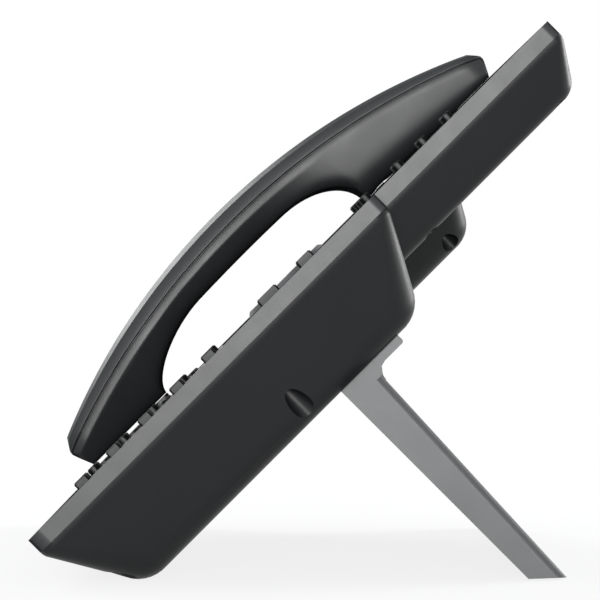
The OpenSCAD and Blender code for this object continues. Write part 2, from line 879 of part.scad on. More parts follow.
// Tongue of the front shell and rebate of the back shell at their seam
lap_gap = 0.15;
lap_in = 0.9;
lap_rise = 1.2;
lap_places = [for (i = [0:15]) lerp(handset_low + nose + 0.5,
    handset_high - tail - 0.5, i / 15)];
module seam_lap(inset, rise) {
    loft(lap_places, [for (y = lap_places) let(
        half = half_width(y) - inset, z = seam_height(y))
        [[-half, z - 1.5], [half, z - 1.5], [half, z + rise],
        [-half, z + rise]]]);
}

inner_stations = [for (y = stations) if (y > handset_low + 6
    && y < handset_high - 7) y];

module handset_inside() {
    loft(inner_stations, [for (y = inner_stations) inner_points(y)]);
}

module handset_back() {
    color([0.16, 0.17, 0.18]) on_face() difference() {
        loft(stations, [for (y = stations) back_points(y)]);
        seam_lap(lap_in, lap_rise + lap_gap);
        handset_inside();
    }
}

jack_w = 11;
jack_end = 15;                  // from the handset's lower end
jack_low = mouth_under + handset_wall + fit;
jack_high = jack_low + 6.4;
mouth_y = handset_low + 23;     // centre of the mouthpiece
module handset_front() {
    color([0.1, 0.105, 0.11]) on_face() difference() {
        union() {
            loft(stations, [for (y = stations) front_points(y)]);
            seam_lap(lap_in + lap_gap, lap_rise);
            translate([handset_x, ear_y, ear_under - ear_rim])
                cylinder(d = ear_rim_d, h = ear_rim + 1);
        }
        handset_inside();
        for (i = [-2:2]) translate([handset_x, ear_y + 3.4 * i, 0])
            slab(-3, 4) round_rect(i % 2 == 0 ? 13 : 10, 1.4, 0.6);
        translate([handset_x, mouth_y, 0]) slab(0, 6)
            round_rect(5, 1.4, 0.6);
        box_at(handset_x - jack_w / 2 - touch, handset_x + jack_w / 2
            + touch, handset_low - 1, handset_low + jack_end + fit,
            jack_low - 0.1, jack_high + fit);
    }
}

module ear_speaker() {
    color([0.2, 0.2, 0.2]) on_face()
        translate([handset_x, ear_y, ear_under + handset_wall + 0.1]) {
            cylinder(d = ear_rim_d - 3, h = 3);
            translate([0, 0, 3]) cylinder(d = ear_rim_d - 12, h = 2.6);
        }
}

module mouth_microphone() {
    color([0.6, 0.6, 0.6]) on_face()
        translate([handset_x, mouth_y, mouth_under + handset_wall + 0.1])
            cylinder(d = 9.6, h = 4);
}

module handset_cord_jack() {
    color([0.08, 0.08, 0.08]) on_face() difference() {
        box_at(handset_x - jack_w / 2, handset_x + jack_w / 2,
            handset_low + 3, handset_low + jack_end, jack_low, jack_high);
        box_at(handset_x - jack_w / 2 + 1.7, handset_x + jack_w / 2 - 1.7,
            handset_low + 2, handset_low + jack_end - 2, jack_low + 1,
            jack_high - 1);
    }
}

weight_w = 18;
weight_len = 44;
weight_t = 5.5;
module handset_weight() {
    color([0.5, 0.5, 0.52]) on_face()
        box_at(handset_x - weight_w / 2, handset_x + weight_w / 2,
            arch_y - weight_len / 2, arch_y + weight_len / 2,
            grip_under + handset_wall + 0.1,
            grip_under + handset_wall + 0.1 + weight_t);
}

// ---- stand ----

function desk_depth(y) = (edge_z + y * sin(tilt)) / cos(tilt);
head_low = -keypad_depth - head_t;
leg_end = -desk_depth(stand_y + leg_foot);
taper = atan((leg_top - leg_foot) / (head_low - leg_end));
pad_t = 1.4;
pad_proud = 0.5;
pad_w = 6;
rib_x = [-stand_w / 4, 0, stand_w / 4];
rib_t = 2.4;
side_t = 4;

module leg_profile() {
    polygon([[stand_y, -keypad_depth], [stand_y, leg_end - 4],
        [stand_y + leg_foot, leg_end], [stand_y + leg_top, head_low]]);
    difference() {
        translate([stand_y, head_low]) square([head_len, head_t]);
        translate([stand_y + head_len - 1, head_low - thin])
            square([1 + thin, 1]);
    }
    translate([stand_y + head_len - 1, head_low + 1]) circle(r = 1);
    translate([stand_y + leg_top, head_low]) difference() {
        translate([-1, -head_fillet])
            square([head_fillet + 1, head_fillet + 0.5]);
        translate([head_fillet, -head_fillet]) circle(r = head_fillet);
    }
}

module stand() {
    color([0.42, 0.43, 0.44]) on_face() difference() {
        union() {
            translate([-stand_w / 2, 0, 0]) rotate([90, 0, 90])
                linear_extrude(height = stand_w) leg_profile();
            for (x = stand_hook_x) {
                box_at(x - hook_w / 2, x + hook_w / 2, hook_y,
                    hook_y + hook_neck, -keypad_depth - 0.5,
                    -keypad_depth + wall + fit + hook_top);
                box_at(x - hook_w / 2, x + hook_w / 2, hook_y,
                    hook_y + hook_neck + stand_slide - 1,
                    -keypad_depth + wall + fit,
                    -keypad_depth + wall + fit + hook_top);
            }
        }
        for (i = [0:3]) {
            x0 = i == 0 ? -stand_w / 2 + side_t : rib_x[i - 1] + rib_t / 2;
            x1 = i == 3 ? stand_w / 2 - side_t : rib_x[i] - rib_t / 2;
            box_at(x0, x1, stand_y + stand_wall,
                stand_y + head_len, leg_end + 12,
                head_low - head_fillet - 2);
        }
        for (side = [-1, 1])
            translate([side * stand_w / 2, stand_y + leg_top, head_low])
                rotate([180 - taper, 0, 0])
                translate([0, 0, head_fillet * 0.6])
                linear_extrude(height = 140) difference() {
                    translate([-side * leg_round / 2 + side * 0.5,
                        leg_round / 2 - 0.5])
                        square(leg_round + 1, center = true);
                    translate([-side * leg_round, leg_round])
                        circle(r = leg_round);
                    translate([-side * (leg_round + 1), leg_round])
                        square([2, 2 * leg_round + 4], center = true);
                }
        off_face() {
            translate([0, 100, pad_proud - 20])
                cube([400, 200, 40], center = true);
            translate([0, pad_y, pad_proud])
                cube([stand_w - 16 + 0.2, pad_w + 0.2,
                    2 * (pad_t - pad_proud) + 0.1], center = true);
        }
    }
}
pad_y = edge_y + (stand_y + leg_foot / 2) * cos(tilt)
    + desk_depth(stand_y + leg_foot / 2) * sin(tilt) - 0.4;

module stand_pad() {
    color([0.05, 0.05, 0.05])
        translate([-(stand_w - 16) / 2, pad_y - pad_w / 2, 0])
            cube([stand_w - 16, pad_w, pad_t]);
}

module case_screws() {
    color([0.55, 0.55, 0.57]) on_face()
        for (s = wells) translate([s[0], s[1], 0]) {
            translate([0, 0, -seat_depth - 1.8]) difference() {
                cylinder(d = screw_head_d, h = 1.8 - 0.02);
                translate([0, 0, -0.1]) {
                    box_at(-1.4, 1.4, -0.3, 0.3, 0, 1);
                    box_at(-0.3, 0.3, -1.4, 1.4, 0, 1);
                }
            }
            translate([0, 0, -seat_depth - 0.1])
                cylinder(d = screw_d - 0.1, h = 7.5);
        }
}

module side_key_low() {
    key(column_right, side_low_y, function_w, side_low_h, function_r,
        key_proud, key_shade);
}
module side_key_high() {
    key(column_right, side_high_y, function_w, side_high_h, function_r,
        key_proud, key_shade);
}

front_case();
rear_case();
display_window();
lcd_panel();
message_lamp();
label_cover();
key_mat();
key_board();
main_board();
loudspeaker();
hands_free_microphone();
network_jacks();
handset_jacks();
power_jack();
hook_lever();
handset_back();
handset_front();
ear_speaker();
mouth_microphone();
handset_cord_jack();
handset_weight();
stand();
stand_pad();
front_feet();
case_screws();
nav_ring();
nav_pivot();
select_key();
number_key(-1, 3);  // key_1
number_key(0, 3);  // key_2
number_key(1, 3);  // key_3
number_key(-1, 2);  // key_4
number_key(0, 2);  // key_5
number_key(1, 2);  // key_6
number_key(-1, 1);  // key_7
number_key(0, 1);  // key_8
number_key(1, 1);  // key_9
number_key(-1, 0);  // key_star
number_key(0, 0);  // key_0
number_key(1, 0);  // key_hash
right_function_key(4);  // function_key_1
right_function_key(3);  // function_key_2
right_function_key(2);  // function_key_3
right_function_key(1);  // function_key_4
right_function_key(0);  // function_key_5
inner_function_key(4);  // function_key_6
inner_function_key(3);  // function_key_7
inner_function_key(2);  // function_key_8
inner_function_key(1);  // function_key_9
inner_function_key(0);  // function_key_10
side_key_low();
side_key_high();
soft_key(0);  // soft_key_1
soft_key(1);  // soft_key_2
soft_key(2);  // soft_key_3
soft_key(3);  // soft_key_4
line_key(2);  // line_key_1
line_key(1);  // line_key_2
line_key(0);  // line_key_3
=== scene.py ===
import json
import math

import bmesh
import bpy
from mathutils import Matrix, Vector


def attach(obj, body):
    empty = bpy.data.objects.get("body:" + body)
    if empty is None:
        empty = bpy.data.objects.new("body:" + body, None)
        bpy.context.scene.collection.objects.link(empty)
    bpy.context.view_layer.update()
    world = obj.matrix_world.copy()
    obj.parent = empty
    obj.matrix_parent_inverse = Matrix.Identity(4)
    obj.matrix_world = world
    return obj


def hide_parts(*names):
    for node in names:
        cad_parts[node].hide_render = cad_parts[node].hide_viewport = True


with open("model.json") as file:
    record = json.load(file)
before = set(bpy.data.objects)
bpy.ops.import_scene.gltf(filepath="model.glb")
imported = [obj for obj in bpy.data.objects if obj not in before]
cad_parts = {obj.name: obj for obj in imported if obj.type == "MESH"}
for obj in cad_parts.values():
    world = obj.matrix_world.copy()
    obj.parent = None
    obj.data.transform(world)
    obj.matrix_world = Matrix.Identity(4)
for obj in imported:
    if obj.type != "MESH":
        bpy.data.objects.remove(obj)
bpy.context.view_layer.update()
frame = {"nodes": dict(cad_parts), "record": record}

MM = 0.001
TILT = math.radians(45)
EDGE_Y, EDGE_Z = -85.281, 14.2368
FACE_AT = (0, EDGE_Y * MM, EDGE_Z * MM)
FACE = Matrix.Translation(FACE_AT) @ Matrix.Rotation(TILT, 4, "X") @ Matrix.Scale(MM, 4)
TO_FACE = FACE.inverted()
SAME = 1e-7  # corners nearer than this, in metres, are one corner


# ---- camera ----

LENS, SHIFT = 173.2, (0.0717, 0.0025)
CAMERA_AT = (1.0285, -0.01354, 0.0892)


def make_camera():
    """Level camera at the phone's right, a hair above the plane of the face."""
    data = bpy.data.cameras.new("camera")
    cam = bpy.data.objects.new("camera", data)
    bpy.context.scene.collection.objects.link(cam)
    data.sensor_width = 36
    data.lens = LENS
    data.shift_x, data.shift_y = SHIFT
    data.clip_start, data.clip_end = 0.02, 60
    cam.location = CAMERA_AT
    cam.rotation_euler = (math.radians(90), 0, math.radians(90))
    bpy.context.scene.camera = cam


# ---- material nodes ----

def new_material(name):
    mat = bpy.data.materials.new(name)
    mat.use_nodes = True
    nt = mat.node_tree
    nt.nodes.clear()
    out = nt.nodes.new("ShaderNodeOutputMaterial")
    return mat, nt, out


def node(nt, kind, **settings):
    n = nt.nodes.new(kind)
    for k, v in settings.items():
        setattr(n, k, v)
    return n


def object_coord(nt):
    return node(nt, "ShaderNodeTexCoord").outputs["Object"]


def noise(nt, coord, scale, detail, rough=0.5):
    n = node(nt, "ShaderNodeTexNoise")
    n.inputs["Scale"].default_value = scale
    n.inputs["Detail"].default_value = detail
    n.inputs["Roughness"].default_value = rough
    nt.links.new(coord, n.inputs["Vector"])
    return n.outputs["Fac"]


def spread(nt, value, low, high, start=0.3, end=0.7):
    """Runs from low to high while the value runs from start to end."""
    n = node(nt, "ShaderNodeMapRange", clamp=True)
    n.inputs["From Min"].default_value = start
    n.inputs["From Max"].default_value = end
    n.inputs["To Min"].default_value = low
    n.inputs["To Max"].default_value = high
    nt.links.new(value, n.inputs["Value"])
    return n.outputs["Result"]


COLOUR_A, COLOUR_B, COLOUR_OUT = 6, 7, 2  # the mix node's colour sockets
DRIFT_SCALE, GLOSS_SCALE = 24, 70  # noise scales, in cells per metre
DRIFT = (0.93, 1.07)
DULLER, GLOSSIER = 0.04, 0.03
SHEEN_FROM, SHEEN_TO = 0.06, 0.5  # over this stretch of facing() the sheen falls to its rim level


def mix_colours(nt, fac, a, b):
    """Colour mix; a and b are each a colour or the output of a node."""
    n = node(nt, "ShaderNodeMix", data_type="RGBA")
    for i, colour in ((COLOUR_A, a), (COLOUR_B, b)):
        if isinstance(colour, tuple):
            n.inputs[i].default_value = (*colour, 1)
        else:
            nt.links.new(colour, n.inputs[i])
    nt.links.new(fac, n.inputs["Factor"])
    return n.outputs[COLOUR_OUT]


def mix_shaders(nt, fac, a, b):
    n = node(nt, "ShaderNodeMixShader")
    for i, value in enumerate((fac, a, b)):
        nt.links.new(value, n.inputs[i])
    return n.outputs[0]


def bump(nt, height, distance, strength):
    n = node(nt, "ShaderNodeBump")
    n.inputs["Strength"].default_value = strength
    n.inputs["Distance"].default_value = distance
    nt.links.new(height, n.inputs["Height"])
    return n.outputs["Normal"]


def facing(nt):
    """0 where a surface faces the eye, 1 where it is seen edge on."""
    n = node(nt, "ShaderNodeLayerWeight")
    n.inputs["Blend"].default_value = 0.5
    return n.outputs["Facing"]


def plastic(name, colour, rough, spec, grain=0.00002, grain_scale=2600, coat=0.0, metal=0.0,
            rim=0.05):
    """Moulded plastic: spark-eroded grain, slow changes of gloss and a faint drift of colour.

    rim is the specular level at a grazing angle, where the grain hides the sheen."""
    mat, nt, out = new_material(name)
    coord = object_coord(nt)
    p = node(nt, "ShaderNodeBsdfPrincipled")
    drift = spread(nt, noise(nt, coord, DRIFT_SCALE, 2), 0, 1)
    low, high = (tuple(c * k for c in colour) for k in DRIFT)
    nt.links.new(mix_colours(nt, drift, low, high), p.inputs["Base Color"])
    gloss = noise(nt, coord, GLOSS_SCALE, 4, 0.6)
    nt.links.new(spread(nt, gloss, rough - GLOSSIER, rough + DULLER), p.inputs["Roughness"])
    level = spread(nt, facing(nt), spec, rim, SHEEN_FROM, SHEEN_TO)
    nt.links.new(level, p.inputs["Specular IOR Level"])
    p.inputs["Metallic"].default_value = metal
    p.inputs["Coat Weight"].default_value = coat
    p.inputs["Coat Roughness"].default_value = 0.08
    if grain:
        fine = noise(nt, coord, grain_scale, 2, 0.6)
        nt.links.new(bump(nt, fine, grain, 0.6), p.inputs["Normal"])
    nt.links.new(p.outputs["BSDF"], out.inputs["Surface"])
    return mat


def srgb(v):
    v /= 255
    return v / 12.92 if v <= 0.04045 else ((v + 0.055) / 1.055) ** 2.4


def grey(v, tint=(0, 1, 2)):
    """A picture's grey of 0 to 255, a touch cool, as a colour for a shader."""
    return tuple(srgb(v + t) for t in tint)


MATS = {}


def make_materials():
    m = MATS
    m["case_front"] = plastic("case_front_plastic", grey(42), 0.38, 0.52, rim=0)
    m["case_rear"] = plastic("case_rear_plastic", grey(24), 0.38, 0.24, rim=0.1)
    m["handset_back"] = plastic("handset_back_plastic", grey(38, (-3, 1, 2)), 0.34, 0.45)
    m["handset_front"] = plastic("handset_front_plastic", grey(37), 0.38, 0.46, rim=0)
    m["stand"] = plastic("stand_plastic", grey(76), 0.38, 0.5)
    m["key"] = plastic("key_plastic", grey(33), 0.42, 0.42, grain_scale=3400)
    # painted shade: darker, duller copy of the key plastic for the walls between the keys' rows
    m["key_wall"] = plastic("key_wall_plastic", grey(12), 0.6, 0.05, grain_scale=3400)
    m["nav"] = plastic("nav_satin", grey(72), 0.32, 0.5, coat=0.2)
    m["rubber"] = plastic("rubber", grey(22), 0.75, 0.25, grain=0.00004, grain_scale=1600)
    m["socket"] = plastic("socket_plastic", grey(24), 0.5, 0.35)
    m["silicone"] = plastic("silicone", grey(120), 0.6, 0.35)
    m["speaker"] = plastic("speaker_paper", grey(30), 0.8, 0.2, grain=0.00005, grain_scale=900)
    m["metal"] = plastic("plated_metal", (0.55, 0.55, 0.56), 0.3, 0.5, metal=1.0, grain=0.00001)
    m["board"] = plastic("board_green", (0.02, 0.11, 0.05), 0.4, 0.45)
    m["weight"] = plastic("cast_weight", (0.22, 0.22, 0.23), 0.55, 0.5, metal=1.0)
    m["screw"] = plastic("zinc_screw", (0.42, 0.42, 0.43), 0.34, 0.5, metal=1.0, grain=0.00001)
    m["mark"] = plastic("key_print", grey(205), 0.5, 0.3, grain=0)
    m["lamp"] = plastic("lamp_lens", (0.16, 0.012, 0.01), 0.2, 0.5, coat=0.5, grain=0)
    m["window"] = window_material()
    m["lcd"] = lcd_material()
    m["label_film"] = label_material()


def face_coords(nt):
    """Object position turned into the face's frame, in millimetres."""
    shift = node(nt, "ShaderNodeVectorMath", operation="SUBTRACT")
    shift.inputs[1].default_value = FACE_AT
    nt.links.new(object_coord(nt), shift.inputs[0])
    turn = node(nt, "ShaderNodeVectorRotate", rotation_type="X_AXIS")
    turn.inputs["Angle"].default_value = -TILT
    nt.links.new(shift.outputs[0], turn.inputs["Vector"])
    size = node(nt, "ShaderNodeVectorMath", operation="SCALE")
    size.inputs["Scale"].default_value = 1000
    nt.links.new(turn.outputs[0], size.inputs[0])
    parts = node(nt, "ShaderNodeSeparateXYZ")
    nt.links.new(size.outputs[0], parts.inputs[0])
    return size.outputs[0], parts.outputs


def maths(nt, op, a, b=None):
    """Maths node on one or two values, each a number or the output of a node."""
    n = node(nt, "ShaderNodeMath", operation=op)
    for i, v in enumerate((a, b)):
        if isinstance(v, (int, float)):
            n.inputs[i].default_value = v
        elif v is not None:
            nt.links.new(v, n.inputs[i])
    return n.outputs[0]


def inside_box(nt, xyz, cx, cy, w, h, soft=0.15):
    """1 inside a rectangle on the face, 0 outside, with a narrow soft edge."""
    off_x = maths(nt, "ABSOLUTE", maths(nt, "SUBTRACT", xyz[0], cx))
    off_y = maths(nt, "ABSOLUTE", maths(nt, "SUBTRACT", xyz[1], cy))
    dx = maths(nt, "SUBTRACT", w / 2, off_x)
    dy = maths(nt, "SUBTRACT", h / 2, off_y)
    return spread(nt, maths(nt, "MINIMUM", dx, dy), 0, 1, 0, soft)


def dull_rim(nt, shader):
    """Takes the mirror-like sheen away where the flat glass is seen edge on."""
    level = spread(nt, facing(nt), 0.5, 0, 0.5, 0.9)
    nt.links.new(level, shader.inputs["Specular IOR Level"])


LCD = (30.0, 192.8, 98.0, 46.0)  # middle x, middle y, width, height
LCD_CELL, LCD_MARGIN = 0.42, 6
LCD_GLASS, LCD_FIELD, LCD_GRID = (0.09, 0.10, 0.095), (0.165, 0.19, 0.17), (0.145, 0.168, 0.15)
LENS_TINT = (0.62, 0.64, 0.65, 1)
LENS_IOR = 1.45
BORDER_INK = ((0.0045, 0.005, 0.0055), (0.007, 0.0075, 0.008))


def window_material():
    """Smoked lens: black printed border, clear over the display."""
    mat, nt, out = new_material("display_lens")
    _, xyz = face_coords(nt)
    clear = inside_box(nt, xyz, *LCD, 0.12)
    border = node(nt, "ShaderNodeBsdfPrincipled")
    border.inputs["Roughness"].default_value = 0.08
    dull_rim(nt, border)
    haze = noise(nt, object_coord(nt), 40, 3)
    ink = mix_colours(nt, haze, *BORDER_INK)
    nt.links.new(ink, border.inputs["Base Color"])
    through = node(nt, "ShaderNodeBsdfTransparent")
    through.inputs["Color"].default_value = LENS_TINT
    shine = node(nt, "ShaderNodeBsdfGlossy")
    shine.inputs["Roughness"].default_value = 0.06
    fres = node(nt, "ShaderNodeFresnel")
    fres.inputs["IOR"].default_value = LENS_IOR
    sheen = maths(nt, "MULTIPLY", fres.outputs[0], spread(nt, facing(nt), 1, 0.05, 0.75, 0.9))
    pane = mix_shaders(nt, sheen, through.outputs[0], shine.outputs[0])
    nt.links.new(mix_shaders(nt, clear, border.outputs[0], pane), out.inputs["Surface"])
    return mat


def lcd_material():
    """Display that is switched off: grey-green glass with a faint cell grid."""
    mat, nt, out = new_material("display_panel")
    _, xyz = face_coords(nt)
    p = node(nt, "ShaderNodeBsdfPrincipled")
    gx, gy = (maths(nt, "FRACT", maths(nt, "DIVIDE", xyz[i], LCD_CELL)) for i in (0, 1))
    line = maths(nt, "MAXIMUM", *(spread(nt, g, 0, 1, 0.86, 0.9) for g in (gx, gy)))
    area = inside_box(nt, xyz, LCD[0], LCD[1], LCD[2] - LCD_MARGIN, LCD[3] - LCD_MARGIN)
    cells = mix_colours(nt, maths(nt, "MULTIPLY", line, area), LCD_FIELD, LCD_GRID)
    glass = mix_colours(nt, area, LCD_GLASS, cells)
    nt.links.new(glass, p.inputs["Base Color"])
    p.inputs["Roughness"].default_value = 0.3
    dull_rim(nt, p)
    nt.links.new(p.outputs[0], out.inputs["Surface"])
    return mat


LABEL = (75.0, 52.4, 48.0, 66.6)  # middle x, middle y, width, height
FIRST_ROW, ROW_PITCH = 24.1, 14.15
LABEL_ROWS, RULE_DOWN, RULE_W, RULE_SOFT = 5, 3.6, 0.45, 0.1
MARGIN_X, MARGIN_Y = 8, 6
PAPER_DARK, PAPER_PALE, RULE_INK = (0.50, 0.50, 0.49), (0.56, 0.56, 0.55), (0.12, 0.13, 0.14)


def label_lines(nt, xyz):
    """The label's ruled lines: one below each key's row, and one down the middle."""
    lines = inside_box(nt, xyz, LABEL[0], LABEL[1], RULE_W, LABEL[3] - MARGIN_Y, RULE_SOFT)
    for row in range(LABEL_ROWS):
        y = FIRST_ROW + ROW_PITCH * row - RULE_DOWN
        rule = inside_box(nt, xyz, LABEL[0], y, LABEL[2] - MARGIN_X, RULE_W, RULE_SOFT)
        lines = maths(nt, "MAXIMUM", lines, rule)
    return lines


def label_material():
    """Paper strip under clear film: pale, with one ruled line for each key."""
    mat, nt, out = new_material("label_strip")
    vec, xyz = face_coords(nt)
    p = node(nt, "ShaderNodeBsdfPrincipled")
    fibres = spread(nt, noise(nt, vec, 1.4, 5, 0.65), 0, 1)
    paper = mix_colours(nt, fibres, PAPER_DARK, PAPER_PALE)
    ruled = mix_colours(nt, label_lines(nt, xyz), paper, RULE_INK)
    nt.links.new(ruled, p.inputs["Base Color"])
    p.inputs["Roughness"].default_value = 0.45
    p.inputs["Coat Weight"].default_value = 0.8
    p.inputs["Coat Roughness"].default_value = 0.07
    nt.links.new(p.outputs[0], out.inputs["Surface"])
    return mat


# ---- meshes ----

WELD = 2e-6  # metres within which a CAD mesh's corners are joined
FLAT = math.radians(0.6)  # triangles that meet flatter than this are one face


def add_object(name, mesh):
    ob = bpy.data.objects.new(name, mesh)
    bpy.context.scene.collection.objects.link(ob)
    return ob


def object_from(bm, name):
    mesh = bpy.data.meshes.new(name)
    bm.to_mesh(mesh)
    bm.free()
    return add_object(name, mesh)


def closed_object(bm, name):
    bmesh.ops.remove_doubles(bm, verts=bm.verts, dist=SAME)
    bmesh.ops.recalc_face_normals(bm, faces=bm.faces)
    return object_from(bm, name)


def set_material(ob, mat):
    ob.data.materials.clear()
    ob.data.materials.append(mat)


def give(ob, body, slot, mat, *replaced):
    set_material(ob, mat)
    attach(ob, body)
    if replaced:
        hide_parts(*replaced)
    return ob


def apply_modifiers(ob):
    dg = bpy.context.evaluated_depsgraph_get()
    mesh = bpy.data.meshes.new_from_object(ob.evaluated_get(dg))
    old = ob.data
    ob.modifiers.clear()
    ob.data = mesh
    bpy.data.meshes.remove(old)


def smooth(ob, angle):
    for poly in ob.data.polygons:
        poly.use_smooth = True
    ob.data.set_sharp_from_angle(angle=math.radians(angle))


def clean_copy(source, name):
    """Copy of a CAD node's mesh with shared corners and whole flat faces."""
    bm = bmesh.new()
    bm.from_mesh(source.data)
    bmesh.ops.remove_doubles(bm, verts=bm.verts, dist=WELD)
    bmesh.ops.dissolve_limit(bm, angle_limit=FLAT, use_dissolve_boundaries=False,
                             verts=bm.verts, edges=bm.edges)
    ob = object_from(bm, name)
    for layer in list(ob.data.attributes):
        if layer.name == "custom_normal":
            ob.data.attributes.remove(layer)
    return ob


def weigh_edges(mesh, skip):
    """Marks each sharp edge for the bevel, and leaves those that skip() names sharp."""
    bm = bmesh.new()
    bm.from_mesh(mesh)
    weight = bm.edges.layers.float.new("bevel_weight_edge")
    for e in bm.edges:
        if not e.smooth and not skip(e):
            e[weight] = 1
            e.smooth = True
    bm.to_mesh(mesh)
    bm.free()


def dress(node_name, body, slot, bevel, segments, angle, skip=None, reshape=None):
    """Rounded-edge copy of a CAD node that stands for it."""
    ob = clean_copy(frame["nodes"][node_name], node_name + "_shell")
    if reshape:
        reshape(ob.data)
    smooth(ob, angle)
    if skip:
        weigh_edges(ob.data, skip)
    mod = ob.modifiers.new("edge", "BEVEL")
    mod.width = bevel * MM
    mod.segments = segments
    mod.limit_method = "WEIGHT" if skip else "ANGLE"
    mod.angle_limit = math.radians(angle)
    mod.use_clamp_overlap = True
    mod.miter_outer = "MITER_ARC"
    mod = ob.modifiers.new("normals", "WEIGHTED_NORMAL")
    mod.keep_sharp = bool(skip)
    mod.weight = 60
    return give(ob, body, slot, MATS[slot], node_name)


# ---- handset ----

HANDSET_X = -104.5
LOW, HIGH = 11.3, 232.0  # ends, along the face
NOSE, TAIL = 3.3, 3.7  # length over which each end slopes to its edge
END_EDGE = 0.6  # half the thickness left at the very ends
HALF_W, WAIST = 22, 2.2
END_R, END_NARROW = 9, 0.7
ARCH_TOP, ARCH_Y, ARCH_R, ARCH_R_LOW = 37.6, 115.4, 265.0, 257.0
SEAM, SEAM_Y, SEAM_R = 30.8, 117.0, 296.0
MOUTH_END, MOUTH_RUN, EAR_END, EAR_RUN = 53.0, 35.0, 162.0, 28.0
MOUTH_SWELL, EAR_SWELL = 1.8, 2.2
GRIP, MOUTH_UNDER, EAR_UNDER, GRIP_R = 19.3, 2.2, 0.12, 900.0
HOOK_Y, HOOK_HALF, HOOK_ROOM = 169.8, 4.0, 0.38
SEAM_HALF = 0.15  # half the gap at the seam
CROWN_R, CROWN_FLAT = 7.0, 0.6
REBATE_IN, REBATE_UP = 0.8, 1.1
TONGUE_IN, TONGUE_UP = 0.95, 1.0
SHELL_EDGE = 0.45
STRIP = 3.4  # upright strip below the seam
TURN_STEPS = 13
EAR_FROM, EAR_OVER = 112, 55  # where the flank's shape begins to pass into the ear end's
GRIP_FADE, GRIP_SHORT = 24, 14
LEAN_MOUTH, LEAN_EAR = 27, 1.5
TURN_MOUTH, TURN_EAR, TURN_GRIP = 6, 4.5, 2.2
STEP_MOUTH, STEP_GRIP, STEP_EAR, STEP_LEAST = 1.6, 2.7, 1.9, 0.12  # between the lofts' sections
EAR_HOLES_Y, EAR_RIM, HOLE_PITCH = 197.8, 30, 3.4
HOLE_LONG, HOLE_SHORT, HOLE_W, HOLE_R = 13, 10, 1.4, 0.65
MIC_UP, MIC_HOLE = 23, 5
JACK_UP, JACK_W, JACK_LENGTH, JACK_R = 7.1, 11.6, 16.2, 0.6


def lerp(a, b, t):
    return a + (b - a) * t


def arch(y):
    """Height of the handset's back."""
    r = ARCH_R_LOW if y < ARCH_Y else ARCH_R
    return ARCH_TOP - r + math.sqrt(r ** 2 - (y - ARCH_Y) ** 2)


def seam(y):
    """Height at which the two shells meet."""
    return SEAM - SEAM_R + math.sqrt(SEAM_R ** 2 - (y - SEAM_Y) ** 2)


def grip(y):
    """Height of the grip's underside."""
    return GRIP - (y - ARCH_Y) ** 2 / 2 / GRIP_R


def swell(t, n):
    """Superellipse quarter: climbs steeply from 0 at t 0 and levels out to 1 at t 1."""
    t = min(max(t, 0), 1)
    return (1 - (1 - t) ** n) ** (1 / n)


def over(y):
    """Upper outline, with both ends sloped."""
    if y < LOW + NOSE:
        return lerp(seam(LOW) + END_EDGE, arch(LOW + NOSE), (y - LOW) / NOSE)
    if y > HIGH - TAIL:
        return lerp(seam(HIGH) + END_EDGE, arch(HIGH - TAIL), (HIGH - y) / TAIL)
    return arch(y)


def under(y):
    """Lower outline: mouth end, grip, ear end with room for the hook, and sloped ends."""
    if y < LOW + NOSE:
        return lerp(seam(LOW) - END_EDGE, MOUTH_UNDER, (y - LOW) / NOSE)
    if y <= MOUTH_END:
        return MOUTH_UNDER
    if y < MOUTH_END + MOUTH_RUN:
        return lerp(MOUTH_UNDER, grip(y), swell((y - MOUTH_END) / MOUTH_RUN, MOUTH_SWELL))
    if y <= EAR_END - EAR_RUN:
        return grip(y)
    if y < EAR_END:
        return lerp(EAR_UNDER, grip(y), swell((EAR_END - y) / EAR_RUN, EAR_SWELL))
    if y <= HIGH - TAIL:
        return EAR_UNDER + (HOOK_ROOM if abs(y - HOOK_Y) < HOOK_HALF else 0)
    return lerp(seam(HIGH) - END_EDGE, EAR_UNDER, (HIGH - y) / TAIL)


def end_in(d):
    """How far a corner of radius END_R draws the side in at distance d from the end."""
    return 0 if d >= END_R else END_R - math.sqrt(max(END_R ** 2 - (END_R - d) ** 2, 0))


def half_width(y):
    waist = 0
    if MOUTH_END <= y <= EAR_END:
        waist = (1 - math.cos(2 * math.pi * (y - MOUTH_END) / (EAR_END - MOUTH_END))) / 2
    return HALF_W - END_NARROW * end_in(y - LOW) - END_NARROW * end_in(HIGH - y) - WAIST * waist


def stations():
    """Where the lofts have a section: closest at the ends and where the outline turns."""
    ys = {round(LOW + NOSE * i / 6, 4) for i in range(7)}
    ys |= {round(HIGH - TAIL * i / 6, 4) for i in range(7)}
    ys |= {round(LOW + NOSE + i * STEP_MOUTH, 4) for i in range(1, 24)}
    for a in range(0, 91, 5):
        c = 1 - math.cos(math.radians(a))
        ys.add(round(MOUTH_END + MOUTH_RUN * c, 4))
        ys.add(round(EAR_END - EAR_RUN * c, 4))
    for y, end, step in ((MOUTH_END + MOUTH_RUN, EAR_END - EAR_RUN, STEP_GRIP),
                         (EAR_END, HIGH - TAIL, STEP_EAR)):
        while y < end:
            ys.add(round(y, 4))
            y += step
    ys = sorted(y for y in ys if LOW <= y <= HIGH)
    keep = [ys[0]]
    for y in ys[1:]:
        if y - keep[-1] > STEP_LEAST:
            keep.append(y)
    keep[-1] = HIGH
    return keep


def lap(inner, z, up):
    """Rectangular step inside the shell's edge: the rebate or the tongue of the lapped seam."""
    return [(-inner, z), (-inner, z + up), (inner, z + up), (inner, z)]


